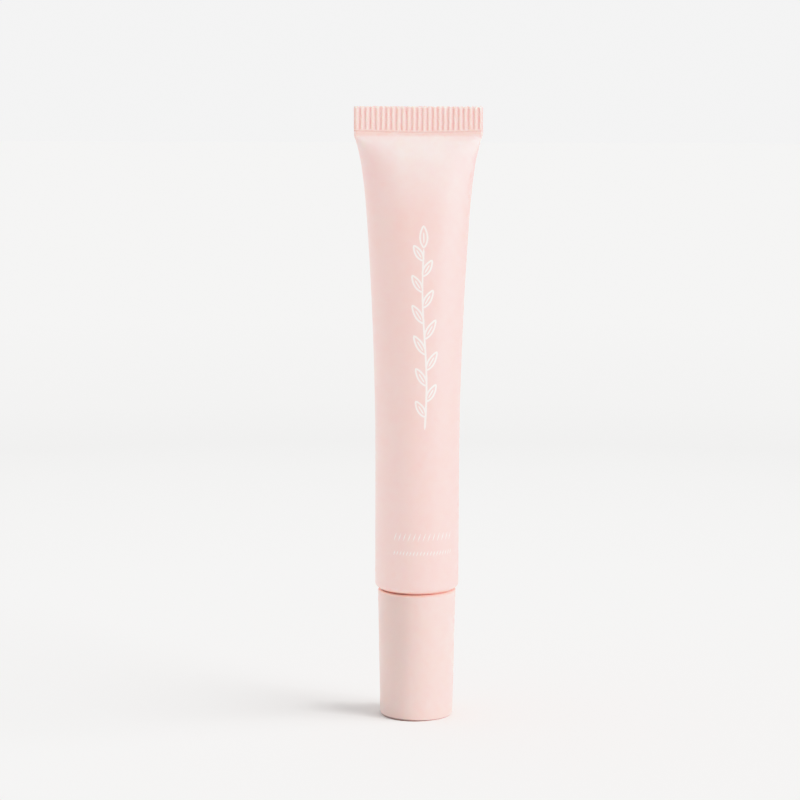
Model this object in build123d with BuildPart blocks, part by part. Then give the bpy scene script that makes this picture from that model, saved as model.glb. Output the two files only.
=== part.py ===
"""Lip gloss squeeze tube, standing upright on its screw cap.

A polyethylene sleeve is crimped flat at the top and welded to a moulded head at the bottom. The head's
threaded neck carries a nozzle insert with a soft slanted tip, and screws down into a two-piece cap.

Millimetres, +Z up. The origin is the centre of the cap's flat base, the crimped seal runs along X, and
the printed front faces -Y. One STEP file is written for each piece.
"""

import os
from math import cos, pi, radians, sin, sqrt, tan

from build123d import *

# ---- driving dimensions ----------------------------------------------------------------------------
TUBE_RADIUS = 8.0
SLEEVE_WALL = 0.45
TOTAL_HEIGHT = 116.7
CAP_HEIGHT = 24.6
PARTING_GAP = 0.4  # the dark line between the cap's rim and the tube's shoulder
CLEAR = 0.03  # between pieces that are pressed or welded together

# Cap shell: a plain drafted cup, a little slimmer than the tube.
CAP_BASE_RADIUS = 7.0
CAP_RIM_RADIUS = 7.47
CAP_WALL = 0.95
CAP_FLOOR = 1.2
CAP_BASE_EDGE = 0.3
CAP_RIM_EDGE = 0.18

# Two-start thread between the neck and the cap core.
STARTS = 2
LEAD = 4.0
THREAD_TURNS = 0.875
THREAD_DEPTH = 0.55
NECK_RADIUS = 4.4  # the neck's root
CORE_THREAD_RADIUS = 5.1  # the cap core's root
MALE_BASE, MALE_CREST = 1.1, 0.55
FEMALE_BASE, FEMALE_CREST = 0.8, 0.4
THREAD_ROOT_SINK = 0.25  # how deep a ridge is sunk into the wall that carries it

# Head: shoulder and neck, measured down from the shoulder's flat underside.
SHOULDER_Z = CAP_HEIGHT + PARTING_GAP
SHOULDER_EDGE = 0.9  # radius of the sleeve's curled lower edge
MOUTH_RADIUS = TUBE_RADIUS - SHOULDER_EDGE - 0.1  # hole in the sleeve's curled-in bottom
NECK_LENGTH = 6.0
NECK_END_Z = SHOULDER_Z - NECK_LENGTH
NECK_BORE = 3.3
NECK_LEAD_IN = 0.25  # chamfer at the neck's end
NECK_FOOT = 0.3  # chamfer where the neck meets the shoulder
MALE_START_Z = NECK_END_Z + 1.0

# The head's skirt is welded inside the sleeve, and a funnel leads from it down to the bore.
SKIRT_RADIUS = TUBE_RADIUS - SLEEVE_WALL - CLEAR
SKIRT_TOP_Z = SHOULDER_Z + 2.6
SKIRT_TOP_WALL, SKIRT_FOOT_WALL = 0.6, 0.8
FUNNEL_TOP_Z = SHOULDER_Z + 1.6
FUNNEL_FOOT_Z = SHOULDER_Z + 1.0
BORE_LEAD_IN = 0.3  # chamfer at the bore's upper end

# Nozzle insert and soft tip.
FLANGE_RADIUS = 4.3
FLANGE_HEIGHT = 0.8
FLANGE_Z = NECK_END_Z - FLANGE_HEIGHT
STEM_RADIUS = 3.25
STEM_WALL = 0.75
STEM_TOP_Z = NECK_END_Z + 4.6
STEM_LEAD_IN, STEM_LEAD_HEIGHT = 0.2, 0.8
STEM_FLOOR_Z = NECK_END_Z + 0.2  # where the insert's wide bore narrows to the channel
CHANNEL_RADIUS = 1.1
SPIGOT_RADIUS = 2.2
SPIGOT_LEAD_IN, SPIGOT_LEAD_HEIGHT = 0.2, 0.4
SPIGOT_BEAD = 0.3  # the bead stands this proud, and is as long as twice its slopes
SPIGOT_END_Z = FLANGE_Z - 4.6
BEAD_Z = SPIGOT_END_Z + 1.3  # middle of the bead
BEAD_SLOPE = 0.4  # height of each of the bead's two slopes
TIP_BASE_RADIUS = 3.75
TIP_END_RADIUS = 3.3
TIP_END_Z = 7.0
TIP_SLANT = 45.0  # degrees between the slanted face and the floor
TIP_EDGE = 0.5

# Cap core: threaded collar above, narrow cup below.
CUP_RADIUS = 4.1
CUP_WALL = 0.8
CUP_FLOOR_Z = 2.0
COLLAR_RADIUS = 5.85
COLLAR_SLOPE = 1.0  # height of the cone between the cup and the collar
CORE_FLANGE_HEIGHT = 0.9
CORE_TOP_Z = CAP_HEIGHT - 0.2
CORE_MOUTH_CHAMFER = 0.3
RING_POCKET_RADIUS = 4.6
POCKET_CLEARANCE, POCKET_SLOPE = 0.1, 0.5  # above the insert's flange, where the pocket widens to the thread
FEMALE_START_Z = MALE_START_Z - 0.1
CORE_RIBS = 8
CORE_RIB_WIDTH, CORE_RIB_REACH = 0.8, 2.4
CORE_RIB_SINK = 0.1  # how far the ribs run into the core's flange

# Sealing ring, squeezed between the core's ledge and the insert's flange.
RING_OUTER, RING_INNER, RING_HEIGHT = 4.5, 3.95, 0.76
RING_GAP = 0.02
RING_CHAMFER = 0.08
LEDGE_Z = FLANGE_Z - RING_HEIGHT - 2 * RING_GAP
COLLAR_Z = LEDGE_Z - 0.8

# Crimped seal at the top of the sleeve.
SEAL_HEIGHT = 5.5
SEAL_BAND = 0.9  # smooth strip below the ribs
SEAL_ROOT = 0.3  # how far the band reaches down into the closing sleeve
SEAL_HALF_THICKNESS = 0.5
SEAL_RIBS = 25
RIB_VALLEY, RIB_RIDGE = 0.36, 0.56  # half thickness of the seal in a valley and on a ridge
SEAL_Z = TOTAL_HEIGHT - SEAL_HEIGHT

# The sleeve goes from round to flat at a constant perimeter.
ROUND_TOP_Z = 50.0
MIDDLE_RADIUS = TUBE_RADIUS - SLEEVE_WALL / 2
MIDDLE_PERIMETER = 2 * pi * MIDDLE_RADIUS
WELD_DRAW_IN = 0.15  # the weld draws each end of the flattened sleeve in by this much
SLEEVE_TOP_HALF_WIDTH = MIDDLE_PERIMETER / 4 + SLEEVE_WALL / 2 - WELD_DRAW_IN
SEAL_OVERHANG = 0.04  # the crimp stands this much past the sleeve at each end
SEAL_HALF_WIDTH = SLEEVE_TOP_HALF_WIDTH + SEAL_OVERHANG
SOFT_FLARE, SHARP_FLARE = 0.68, 0.32  # shares of the widening
SOFT_POWER, SHARP_POWER = 1.8, 14.0
ROUND_SECTIONS = 3
SECTION_DROPS = (60.6, 52.0, 43.0, 32.0, 23.0, 16.0, 11.0, 7.2, 4.6, 2.8, 1.6, 0.7)  # below the seal
CAVITY_TOP_DROP = 0.7  # the hollow ends this far below the seal
FILL_Z = 99.0  # the gloss reaches this height
GLOSS_GAP = 2 * CLEAR  # between the gloss and the pieces round it
GLOSS_EDGE = 0.1
GLOSS_JOIN = 1.0  # how far the gloss in the head overlaps the gloss in the sleeve
ORIFICE_SETBACK = 0.2  # the gloss stops this far short of the slanted face


# ---- sleeve sections -------------------------------------------------------------------------------
def flare(z):
    """Share of the widening reached at height z, 0 on the round tube and 1 at the seal."""
    t = max(0.0, (z - ROUND_TOP_Z) / (SEAL_Z - ROUND_TOP_Z))
    return SOFT_FLARE * t**SOFT_POWER + SHARP_FLARE * t**SHARP_POWER


def ellipse_perimeter(half_width, half_thickness):
    """Ramanujan's approximation, closer than 0.1% for every section of the sleeve."""
    h = ((half_width - half_thickness) / (half_width + half_thickness)) ** 2
    return pi * (half_width + half_thickness) * (1 + 3 * h / (10 + sqrt(4 - 3 * h)))


def middle_section(z):
    """Half width and half thickness of the wall's middle line at height z."""
    half_width = MIDDLE_RADIUS + flare(z) * (SLEEVE_TOP_HALF_WIDTH - TUBE_RADIUS)
    whole = MIDDLE_PERIMETER - flare(z) * 4 * WELD_DRAW_IN
    low, high = SLEEVE_WALL / 2, TUBE_RADIUS
    for _ in range(50):
        half_thickness = (low + high) / 2
        if ellipse_perimeter(half_width, half_thickness) < whole:
            low = half_thickness
        else:
            high = half_thickness
    return half_width, low


def sleeve_section(z, offset):
    """Outline of the sleeve at height z, offset from the wall's middle line."""
    half_width, half_thickness = middle_section(z)
    with BuildSketch(Plane.XY.offset(z)) as section:
        Ellipse(half_width + offset, half_thickness + offset)
    return section.sketch


def sleeve_body(offset, bottom_z, top_z, edge_radius):
    """Solid inside the sleeve's outline at this offset, its lower edge rounded."""
    round_heights = [bottom_z + (ROUND_TOP_Z - bottom_z) * i / ROUND_SECTIONS for i in range(ROUND_SECTIONS)]
    flared_heights = [SEAL_Z - drop for drop in SECTION_DROPS if SEAL_Z - drop < top_z]
    heights = [*round_heights, *flared_heights, top_z]
    with BuildPart(mode=Mode.PRIVATE) as body:
        loft(sections=[sleeve_section(z, offset) for z in heights])
        fillet(body.edges().group_by(Axis.Z)[0], radius=edge_radius)
    return body.part


# ---- shared helpers --------------------------------------------------------------------------------
def cap_inner_radius(z):
    """Radius of the cap shell's drafted inner wall at height z."""
    outer = CAP_BASE_RADIUS + (CAP_RIM_RADIUS - CAP_BASE_RADIUS) * z / CAP_HEIGHT
    return outer - CAP_WALL


def thread_ridges(root_radius, depth, base, crest, start_z, start_angle):
    """One helical ridge for each start. depth is negative for a thread inside a hole."""
    sink = -THREAD_ROOT_SINK if depth > 0 else THREAD_ROOT_SINK
    with BuildPart(mode=Mode.PRIVATE) as ridges:
        with BuildLine(mode=Mode.PRIVATE) as path:
            Helix(pitch=LEAD, height=LEAD * THREAD_TURNS, radius=root_radius)
        with BuildSketch(Plane(path.line @ 0, x_dir=(1, 0, 0), z_dir=path.line % 0)):
            with BuildLine():
                Polyline(
                    (sink, -base / 2),
                    (0, -base / 2),
                    (depth, -crest / 2),
                    (depth, crest / 2),
                    (0, base / 2),
                    (sink, base / 2),
                    close=True,
                )
            make_face()
        sweep(path=path.line, is_frenet=True)
    angles = [start_angle + 360 * i / STARTS for i in range(STARTS)]
    return [Pos(0, 0, start_z) * Rot(0, 0, angle) * ridges.part for angle in angles]


# ---- cap -------------------------------------------------------------------------------------------
def make_cap_shell():
    with BuildPart() as shell:
        with BuildSketch(Plane.XZ):
            with BuildLine():
                Polyline(
                    (0, 0),
                    (CAP_BASE_RADIUS, 0),
                    (CAP_RIM_RADIUS, CAP_HEIGHT),
                    (cap_inner_radius(CAP_HEIGHT), CAP_HEIGHT),
                    (cap_inner_radius(CAP_FLOOR), CAP_FLOOR),
                    (0, CAP_FLOOR),
                    close=True,
                )
            make_face()
        revolve(axis=Axis.Z)
        base_edge = shell.edges().filter_by(GeomType.CIRCLE).group_by(Axis.Z)[0]
        fillet(base_edge, radius=CAP_BASE_EDGE)
        rim_edges = shell.edges().filter_by(GeomType.CIRCLE).group_by(Axis.Z)[-1]
        fillet(rim_edges, radius=CAP_RIM_EDGE)
    return shell


def make_cap_core():
    with BuildPart(mode=Mode.PRIVATE) as ribs:
        with BuildSketch(Plane.XY.offset(CUP_FLOOR_Z)):
            with PolarLocations(CUP_RADIUS + CUP_WALL / 2 + CORE_RIB_REACH / 2, CORE_RIBS):
                Rectangle(CORE_RIB_REACH, CORE_RIB_WIDTH)
        extrude(amount=CORE_TOP_Z - CORE_FLANGE_HEIGHT - CUP_FLOOR_Z + CORE_RIB_SINK)
        with BuildSketch(Plane.XZ):
            with BuildLine():
                Polyline(
                    (0, CAP_FLOOR),
                    (cap_inner_radius(CAP_FLOOR) - CLEAR, CAP_FLOOR),
                    (cap_inner_radius(CAP_HEIGHT) - CLEAR, CAP_HEIGHT),
                    (0, CAP_HEIGHT),
                    close=True,
                )
            make_face()
        revolve(axis=Axis.Z, mode=Mode.INTERSECT)
    with BuildPart() as core:
        with BuildSketch(Plane.XZ):
            with BuildLine():
                Polyline(
                    (0, CAP_FLOOR),
                    (CUP_RADIUS + CUP_WALL, CAP_FLOOR),
                    (CUP_RADIUS + CUP_WALL, COLLAR_Z),
                    (COLLAR_RADIUS, COLLAR_Z + COLLAR_SLOPE),
                    (COLLAR_RADIUS, CORE_TOP_Z),
                    (0, CORE_TOP_Z),
                    close=True,
                )
            make_face()
        revolve(axis=Axis.Z)
        with BuildSketch(Plane.XY.offset(CORE_TOP_Z)):
            Circle(cap_inner_radius(CORE_TOP_Z - CORE_FLANGE_HEIGHT) - CLEAR)
        extrude(amount=-CORE_FLANGE_HEIGHT)
        add(ribs.part)
        with BuildSketch(Plane.XZ):
            with BuildLine():
                Polyline(
                    (0, CUP_FLOOR_Z),
                    (CUP_RADIUS, CUP_FLOOR_Z),
                    (CUP_RADIUS, LEDGE_Z),
                    (RING_POCKET_RADIUS, LEDGE_Z),
                    (RING_POCKET_RADIUS, FLANGE_Z + POCKET_CLEARANCE),
                    (CORE_THREAD_RADIUS, FLANGE_Z + POCKET_CLEARANCE + POCKET_SLOPE),
                    (CORE_THREAD_RADIUS, CORE_TOP_Z - CORE_MOUTH_CHAMFER),
                    (CORE_THREAD_RADIUS + CORE_MOUTH_CHAMFER, CORE_TOP_Z),
                    (0, CORE_TOP_Z),
                    close=True,
                )
            make_face()
        revolve(axis=Axis.Z, mode=Mode.SUBTRACT)
        # Half a pitch above the neck's ridges, so that the two threads interleave.
        half_pitch = LEAD / STARTS / 2
        start_angle = 360 * (FEMALE_START_Z - MALE_START_Z - half_pitch) / LEAD
        for ridge in thread_ridges(
            CORE_THREAD_RADIUS, -THREAD_DEPTH, FEMALE_BASE, FEMALE_CREST, FEMALE_START_Z, start_angle
        ):
            add(ridge)
    return core


def make_seal_ring():
    with BuildPart() as ring:
        with BuildSketch(Plane.XY.offset(LEDGE_Z + RING_GAP)):
            Circle(RING_OUTER)
            Circle(RING_INNER, mode=Mode.SUBTRACT)
        extrude(amount=RING_HEIGHT)
        chamfer(ring.edges().filter_by(GeomType.CIRCLE), length=RING_CHAMFER)
    return ring


# ---- head, nozzle and tip --------------------------------------------------------------------------
def make_tube_head():
    mouth_radius = MOUTH_RADIUS - CLEAR
    curl = SHOULDER_EDGE - SLEEVE_WALL
    corner_z = SHOULDER_Z + SLEEVE_WALL + CLEAR
    with BuildPart() as head:
        with BuildSketch(Plane.XZ):
            with BuildLine():
                Polyline(
                    (NECK_BORE, FUNNEL_FOOT_Z - BORE_LEAD_IN),
                    (NECK_BORE, NECK_END_Z),
                    (NECK_RADIUS - NECK_LEAD_IN, NECK_END_Z),
                    (NECK_RADIUS, NECK_END_Z + NECK_LEAD_IN),
                    (NECK_RADIUS, SHOULDER_Z - NECK_FOOT),
                    (NECK_RADIUS + NECK_FOOT, SHOULDER_Z),
                    (mouth_radius, SHOULDER_Z),
                    (mouth_radius, corner_z),
                    (SKIRT_RADIUS - curl, corner_z),
                )
                RadiusArc((SKIRT_RADIUS - curl, corner_z), (SKIRT_RADIUS, corner_z + curl), -curl)
                Polyline(
                    (SKIRT_RADIUS, corner_z + curl),
                    (SKIRT_RADIUS, SKIRT_TOP_Z),
                    (SKIRT_RADIUS - SKIRT_TOP_WALL, SKIRT_TOP_Z),
                    (SKIRT_RADIUS - SKIRT_FOOT_WALL, FUNNEL_TOP_Z),
                    (NECK_BORE + BORE_LEAD_IN, FUNNEL_FOOT_Z),
                    (NECK_BORE, FUNNEL_FOOT_Z - BORE_LEAD_IN),
                )
            make_face()
        revolve(axis=Axis.Z)
        for ridge in thread_ridges(
            NECK_RADIUS, THREAD_DEPTH, MALE_BASE, MALE_CREST, MALE_START_Z, 0.0
        ):
            add(ridge)
    return head


def make_nozzle_insert():
    with BuildPart() as insert:
        with BuildSketch(Plane.XZ):
            with BuildLine():
                Polyline(
                    (CHANNEL_RADIUS, SPIGOT_END_Z),
                    (SPIGOT_RADIUS - SPIGOT_LEAD_IN, SPIGOT_END_Z),
                    (SPIGOT_RADIUS, SPIGOT_END_Z + SPIGOT_LEAD_HEIGHT),
                    (SPIGOT_RADIUS, BEAD_Z - BEAD_SLOPE),
                    (SPIGOT_RADIUS + SPIGOT_BEAD, BEAD_Z),
                    (SPIGOT_RADIUS, BEAD_Z + BEAD_SLOPE),
                    (SPIGOT_RADIUS, FLANGE_Z),
                    (FLANGE_RADIUS, FLANGE_Z),
                    (FLANGE_RADIUS, NECK_END_Z),
                    (STEM_RADIUS, NECK_END_Z),
                    (STEM_RADIUS, STEM_TOP_Z - STEM_LEAD_HEIGHT),
                    (STEM_RADIUS - STEM_LEAD_IN, STEM_TOP_Z),
                    (STEM_RADIUS - STEM_WALL, STEM_TOP_Z),
                    (STEM_RADIUS - STEM_WALL, STEM_FLOOR_Z),
                    (CHANNEL_RADIUS, STEM_FLOOR_Z),
                    close=True,
                )
            make_face()
        revolve(axis=Axis.Z)
    return insert


def make_applicator_tip():
    bore = SPIGOT_RADIUS + CLEAR
    with BuildPart() as tip:
        with BuildSketch(Plane.XZ):
            with BuildLine():
                Polyline(
                    (0, TIP_END_Z),
                    (TIP_END_RADIUS, TIP_END_Z),
                    (TIP_BASE_RADIUS, FLANGE_Z),
                    (0, FLANGE_Z),
                    close=True,
                )
            make_face()
        revolve(axis=Axis.Z)
        # The slanted face meets the tip's lowest corner at the back, and looks down and forwards.
        slant = radians(TIP_SLANT)
        corner = (0, TIP_END_RADIUS, TIP_END_Z)
        split(bisect_by=Plane(corner, x_dir=(1, 0, 0), z_dir=(0, sin(slant), cos(slant))))
        rim = tip.edges().filter_by(GeomType.ELLIPSE)
        fillet(rim, radius=TIP_EDGE)
        with BuildSketch(Plane.XZ):
            with BuildLine():
                Polyline(
                    (0, TIP_END_Z),
                    (CHANNEL_RADIUS, TIP_END_Z),
                    (CHANNEL_RADIUS, SPIGOT_END_Z - CLEAR),
                    (bore, SPIGOT_END_Z - CLEAR),
                    (bore, BEAD_Z - BEAD_SLOPE),
                    (bore + SPIGOT_BEAD, BEAD_Z),
                    (bore, BEAD_Z + BEAD_SLOPE),
                    (bore, FLANGE_Z),
                    (0, FLANGE_Z),
                    close=True,
                )
            make_face()
        revolve(axis=Axis.Z, mode=Mode.SUBTRACT)
    return tip


# ---- sleeve and gloss ------------------------------------------------------------------------------
def seal_outline():
    """Half-round ribs side by side along both faces of the crimped seal."""
    pitch = 2 * SEAL_HALF_WIDTH / SEAL_RIBS
    for face in (1, -1):
        for i in range(SEAL_RIBS):
            left = -SEAL_HALF_WIDTH + i * pitch
            ThreePointArc(
                (left, face * RIB_VALLEY),
                (left + pitch / 2, face * RIB_RIDGE),
                (left + pitch, face * RIB_VALLEY),
            )
    for end in (1, -1):
        Line((end * SEAL_HALF_WIDTH, -RIB_VALLEY), (end * SEAL_HALF_WIDTH, RIB_VALLEY))


def make_tube_sleeve():
    outer = sleeve_body(SLEEVE_WALL / 2, SHOULDER_Z, SEAL_Z, SHOULDER_EDGE)
    hollow_z = SHOULDER_Z + SLEEVE_WALL
    hollow_edge = SHOULDER_EDGE - SLEEVE_WALL
    hollow = sleeve_body(-SLEEVE_WALL / 2, hollow_z, SEAL_Z - CAVITY_TOP_DROP, hollow_edge)
    with BuildPart() as sleeve:
        add(outer)
        add(hollow, mode=Mode.SUBTRACT)
        with BuildSketch(Plane.XY.offset(SHOULDER_Z)):
            Circle(MOUTH_RADIUS)
        extrude(amount=SLEEVE_WALL, mode=Mode.SUBTRACT)
        with BuildSketch(Plane.XY.offset(SEAL_Z - SEAL_ROOT)):
            SlotOverall(2 * SEAL_HALF_WIDTH, 2 * SEAL_HALF_THICKNESS)
        extrude(amount=SEAL_ROOT + SEAL_BAND)
        with BuildSketch(Plane.XY.offset(SEAL_Z + SEAL_BAND)):
            with BuildLine():
                seal_outline()
            make_face()
        extrude(amount=SEAL_HEIGHT - SEAL_BAND)
    return sleeve


def make_gloss_fill():
    """The gloss fills the sleeve, the shoulder's funnel, the insert and most of the channel."""
    rise = (TIP_END_RADIUS + CHANNEL_RADIUS) * tan(radians(TIP_SLANT))
    orifice_z = TIP_END_Z + rise + ORIFICE_SETBACK
    body_z = SKIRT_TOP_Z + GLOSS_GAP
    join_radius = SKIRT_RADIUS - SKIRT_TOP_WALL - GLOSS_GAP
    body = sleeve_body(-SLEEVE_WALL / 2 - GLOSS_GAP, body_z, FILL_Z, GLOSS_EDGE)
    with BuildPart() as gloss:
        add(body)
        with BuildSketch(Plane.XZ):
            with BuildLine():
                Polyline(
                    (0, orifice_z),
                    (CHANNEL_RADIUS - CLEAR, orifice_z),
                    (CHANNEL_RADIUS - CLEAR, STEM_FLOOR_Z + GLOSS_GAP),
                    (STEM_RADIUS - STEM_WALL - GLOSS_GAP, STEM_FLOOR_Z + GLOSS_GAP),
                    (STEM_RADIUS - STEM_WALL - GLOSS_GAP, STEM_TOP_Z + GLOSS_GAP),
                    (NECK_BORE - GLOSS_GAP, STEM_TOP_Z + GLOSS_GAP),
                    (NECK_BORE - GLOSS_GAP, FUNNEL_FOOT_Z - BORE_LEAD_IN + GLOSS_GAP),
                    (NECK_BORE + BORE_LEAD_IN - GLOSS_GAP, FUNNEL_FOOT_Z + GLOSS_GAP),
                    (SKIRT_RADIUS - SKIRT_FOOT_WALL - GLOSS_GAP, FUNNEL_TOP_Z + GLOSS_GAP),
                    (join_radius, body_z),
                    (join_radius, body_z + GLOSS_JOIN),
                    (0, body_z + GLOSS_JOIN),
                    close=True,
                )
            make_face()
        revolve(axis=Axis.Z)
    return gloss


def main():
    os.makedirs("parts", exist_ok=True)
    pieces = {
        "cap_shell": make_cap_shell(),
        "cap_core": make_cap_core(),
        "cap_seal_ring": make_seal_ring(),
        "tube_head": make_tube_head(),
        "nozzle_insert": make_nozzle_insert(),
        "applicator_tip": make_applicator_tip(),
        "tube_sleeve": make_tube_sleeve(),
        "gloss_fill": make_gloss_fill(),
    }
    for name, piece in pieces.items():
        piece.part.label = name
        export_step(piece.part, f"parts/{name}.step")
        print(f"{name}: {piece.part.volume:.1f} mm3")


if __name__ == "__main__":
    main()
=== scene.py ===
"""Looks for a lip gloss squeeze tube that stands on its screw cap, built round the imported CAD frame.

Everything is in metres, in the CAD's own frame: +Z up the tube, X along the crimped seal, -Y out of the
printed front. The sleeve and the cap shell are rebuilt as fine meshes, the print is a thin layer of ink on
the sleeve, and the pieces inside keep their CAD shape with a better material.
"""

import math

import bmesh
import bpy
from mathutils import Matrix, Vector


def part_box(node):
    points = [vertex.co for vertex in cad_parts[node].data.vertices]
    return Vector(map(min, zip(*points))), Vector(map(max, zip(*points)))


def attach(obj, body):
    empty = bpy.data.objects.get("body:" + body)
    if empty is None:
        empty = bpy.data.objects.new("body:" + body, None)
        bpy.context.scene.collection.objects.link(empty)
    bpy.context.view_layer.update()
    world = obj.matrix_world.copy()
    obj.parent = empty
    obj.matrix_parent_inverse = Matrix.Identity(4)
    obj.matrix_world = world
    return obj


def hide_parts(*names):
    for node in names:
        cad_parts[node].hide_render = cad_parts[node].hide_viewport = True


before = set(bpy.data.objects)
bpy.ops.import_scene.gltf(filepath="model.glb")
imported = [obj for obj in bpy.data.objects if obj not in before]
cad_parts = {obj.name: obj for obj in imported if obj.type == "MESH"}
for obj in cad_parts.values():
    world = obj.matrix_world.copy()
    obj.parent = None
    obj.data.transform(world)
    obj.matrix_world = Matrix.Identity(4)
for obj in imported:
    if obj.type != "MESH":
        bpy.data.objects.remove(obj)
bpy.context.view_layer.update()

MM = 0.001

# ---- places taken from the frame -------------------------------------------------------------------
sleeve_low, sleeve_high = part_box("tube_sleeve")
_, cap_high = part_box("cap_shell")

TUBE_RADIUS = (sleeve_high.y - sleeve_low.y) / 2
TOP_Z = sleeve_high.z
SHOULDER_Z = sleeve_low.z
SEAL_HALF_WIDTH = sleeve_high.x
CAP_HEIGHT = cap_high.z
CAP_RIM_RADIUS = cap_high.x

# ---- sleeve ----------------------------------------------------------------------------------------
WALL = 0.45 * MM
SHOULDER_EDGE = 0.9 * MM  # radius of the curled lower edge
CURL_TOP = 1.5 * SHOULDER_EDGE  # from the shoulder up to the first plain row
MOUTH_FLAT = 0.1 * MM  # flat ring between the curl and the mouth
MOUTH_RADIUS = TUBE_RADIUS - SHOULDER_EDGE - MOUTH_FLAT
LIP_CLEARANCE = 0.04 * MM  # between the cap's rim and the lip under the shoulder
LIP_DROP = SHOULDER_Z - CAP_HEIGHT - LIP_CLEARANCE
LIP_WALL = 0.4 * MM
ROUND_TOP_Z = 50 * MM  # the tube is round below this height
SEAL_HEIGHT = 5.5 * MM
SEAL_Z = TOP_Z - SEAL_HEIGHT
SEAL_BAND = 1.22 * MM  # smooth strip under the ribs
SEAL_HALF_THICKNESS = 0.45 * MM
SEAL_TOP_EDGE = 0.16 * MM
SEAL_END_SQUARENESS = 60  # exponent that rounds the seal's two ends only just
TOP_DRAW_IN = 0.72  # share of the seal's thickness that its top face keeps
WELD_DEPTH = 0.7 * MM  # the inside ends this far below the seal
RIB_COUNT = 25
RIB_DEPTH = 0.16 * MM
RIB_SAG = 0.3 * MM  # the crimp jaw's lower edge dips this much at the middle
RIB_RUN_IN = 0.2 * MM  # height over which a rib rises from the band
RIB_FADE = 0.5 * MM  # height over which the ribs fade out under the top edge
TOP_RISE = 0.3  # share of a rib's depth that is left at the top edge
TOP_INSET = 0.02 * MM  # the faces lean in this much at the top edge
FOOT_LINE_DEPTH = 0.07 * MM  # of the line that the jaw presses just under the ribs
FOOT_LINE_WIDTH = 0.4 * MM
FOOT_LINE_DROP = 0.3 * MM  # from the feet of the ribs to the middle of that line
SOFT_FLARE, SOFT_POWER = 0.68, 1.8
SHARP_FLARE, SHARP_POWER = 0.32, 14.0
FULLNESS = 0.35  # how far the flattening section is squarer than an ellipse
STEPS_PER_RIB = 10
QUARTER_STEPS = 32  # chords along a quarter of a section when its perimeter is worked out
HALVINGS = 26  # of the range in which a section's thickness is looked for
FLATTENS_FROM = 0.75  # share of the widening from which the columns line up with the seal's
FINE_ROW, COARSE_ROW = 0.35 * MM, 1.6 * MM  # spacing of the rows close to the seal and far from it
ROW_BLEND = 25 * MM  # height over which the spacing changes

# ---- cap -------------------------------------------------------------------------------------------
CAP_BASE_RADIUS = 7.0 * MM
CAP_WALL = 0.95 * MM
CAP_FLOOR = 1.2 * MM
CAP_STEPS = 256  # columns round the cap
FOOT_HEIGHT = 0.36 * MM  # the cap stands on a low ring set in from its edge
FOOT_INSET = 0.16 * MM  # from the cap's edge to the ring's foot
FOOT_INNER_INSET, RECESS_INSET = 1.9 * MM, 2.1 * MM  # the ring's inner edge and the recess inside it
BASE_RECESS = 0.12 * MM  # height of the base inside the ring
GATE_RADIUS, GATE_DEPTH = 0.9 * MM, 0.18 * MM  # the moulding gate's dimple in the middle of the base
SMALL_EDGE = 0.05 * MM  # this and the four below round the cap's edges, from the base to the rim
FOOT_EDGE, BASE_EDGE = 0.03 * MM, 0.08 * MM
RIM_OUTER_EDGE, RIM_INNER_EDGE = 0.3 * MM, 0.12 * MM

# ---- print -----------------------------------------------------------------------------------------
INK_THICKNESS = 0.012 * MM
SPRIG_LOW_Z, SPRIG_HIGH_Z = 56.4 * MM, 94.6 * MM
SPRIG_LEAVES = 11
STEM_WIDTH = 0.4 * MM
STEM_TAPER = 0.25
STEM_SWAY = 0.35 * MM
STEM_STEPS = 60
LEAF_LINE = 0.34 * MM
LEAF_DIRECTION = (0.52, 0.85)
LEAVES_FROM, LEAVES_SPAN = 0.07, 0.86  # shares of the stem
LEAF_LONGEST, LEAF_SHORTEST = 4.4 * MM, 3.4 * MM
LONGEST_AT = 0.45  # share of the stem where the leaves are longest
LEAF_HALF_WIDTH = 0.62 * MM
LEAF_BELLY = 0.42  # share of a leaf's length at which it is widest
TOP_LEAF_LENGTH, TOP_LEAF_HALF_WIDTH = 4.2 * MM, 0.7 * MM
VEIN_SHARES = (0.2, 0.45, 0.7)  # start, middle and end of a leaf's vein along its length
VEIN_LINE = 0.8 * LEAF_LINE
DASH_LINE = 0.2 * MM
DASH_SLANT = 0.18  # share of a dash's height that it leans to each side
DASH_ROWS = (  # height on the tube, height of a dash, number of dashes, width of the row
    (35.9 * MM, 1.5 * MM, 13, 11.4 * MM),
    (32.8 * MM, 0.9 * MM, 19, 11.8 * MM),
)


# ---- small helpers ---------------------------------------------------------------------------------
def lerp(a, b, t):
    return a + (b - a) * t


def smooth(t):
    t = min(1.0, max(0.0, t))
    return t * t * (3 - 2 * t)


def new_piece(name, points, faces, material, body, smooth_shading=True):
    """A mesh object that rides on a CAD body."""
    mesh = bpy.data.meshes.new(name)
    mesh.from_pydata(points, [], faces)
    mesh.update()
    tidy = bmesh.new()
    tidy.from_mesh(mesh)
    bmesh.ops.recalc_face_normals(tidy, faces=tidy.faces)
    tidy.to_mesh(mesh)
    tidy.free()
    if smooth_shading:
        mesh.shade_smooth()
    piece = bpy.data.objects.new(name, mesh)
    bpy.context.scene.collection.objects.link(piece)
    mesh.materials.append(material)
    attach(piece, body)
    return piece


def bridge(faces, lower, upper):
    """Quads between two closed rows of point numbers."""
    count = len(lower)
    for i in range(count):
        j = (i + 1) % count
        faces.append((lower[i], lower[j], upper[j], upper[i]))


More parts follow.
